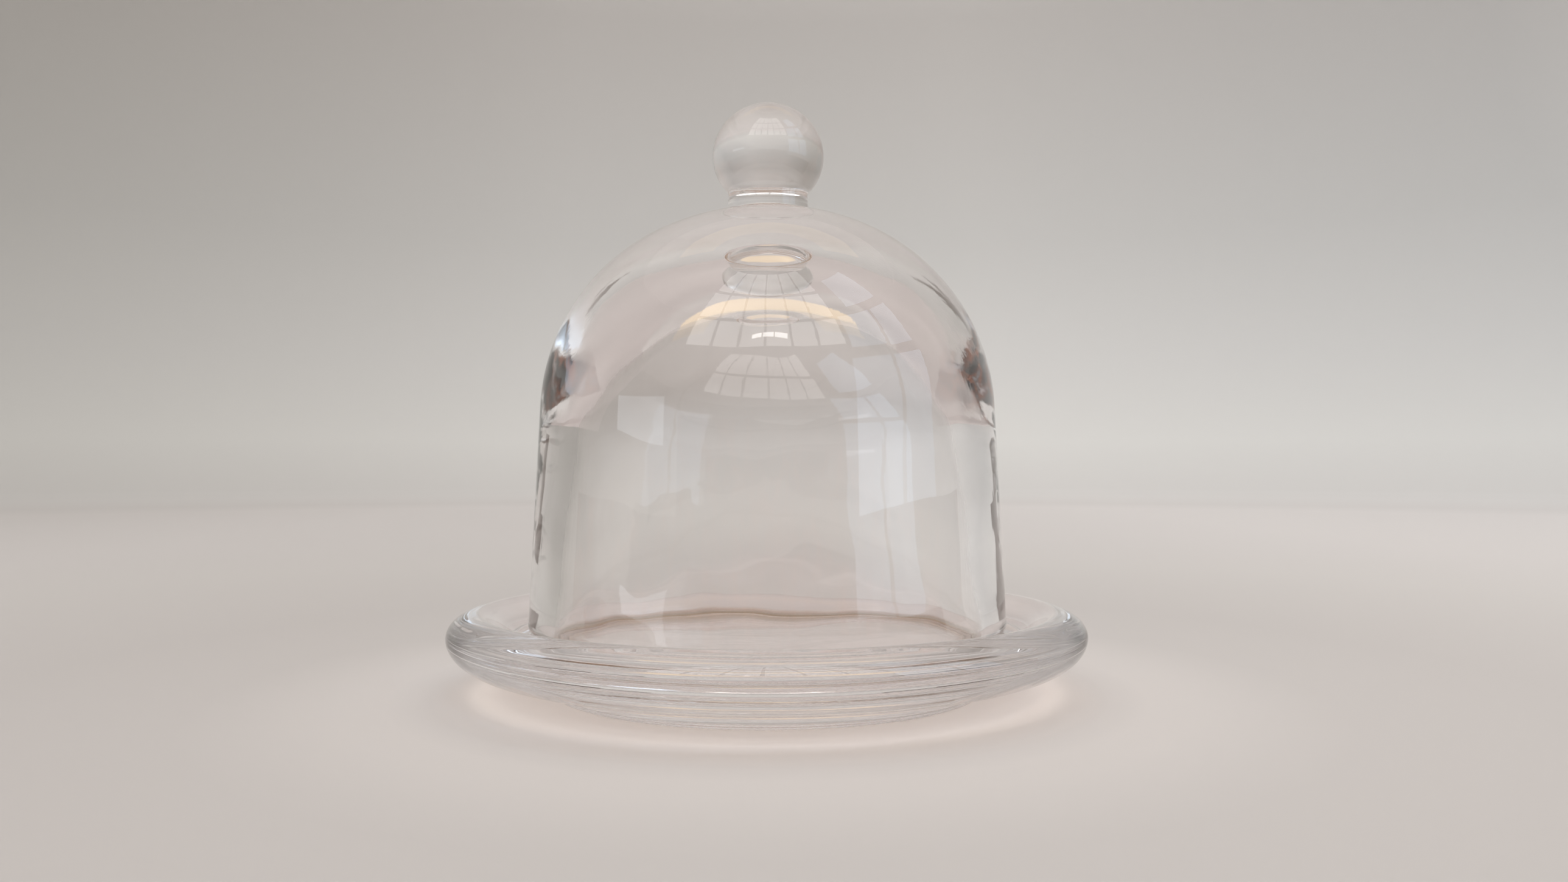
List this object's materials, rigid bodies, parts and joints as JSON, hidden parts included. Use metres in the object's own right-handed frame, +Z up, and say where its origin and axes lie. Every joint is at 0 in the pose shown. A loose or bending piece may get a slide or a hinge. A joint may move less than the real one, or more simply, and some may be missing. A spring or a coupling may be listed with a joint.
{
  "type": "bell jar",
  "caption": "Clear glass bell jar: thick domed cover with a solid ball knob, lifting off a round glass plate with a raised rounded rim and a shallow well.",
  "frame": {"origin": "centre of the plate's flat underside", "axes": "+Z up along the axis of the plate and the cover; +X and +Y are free, because every piece is round"},
  "size_m": [0.12, 0.12, 0.1125],
  "materials": {
    "plate_glass": "polished, slightly uneven",
    "cover_glass": "fire polished, slightly uneven"
  },
  "bodies": {
    "base": {"base_plate": "plate_glass"},
    "cover": {"dome_shell": "cover_glass", "ball_knob": "cover_glass"}
  },
  "joints": [
    {"name": "cover_lift", "type": "slide", "parent": "base", "child": "cover", "axis": [0, 0, 1], "range_m": [0, 0.12]}
  ]
}
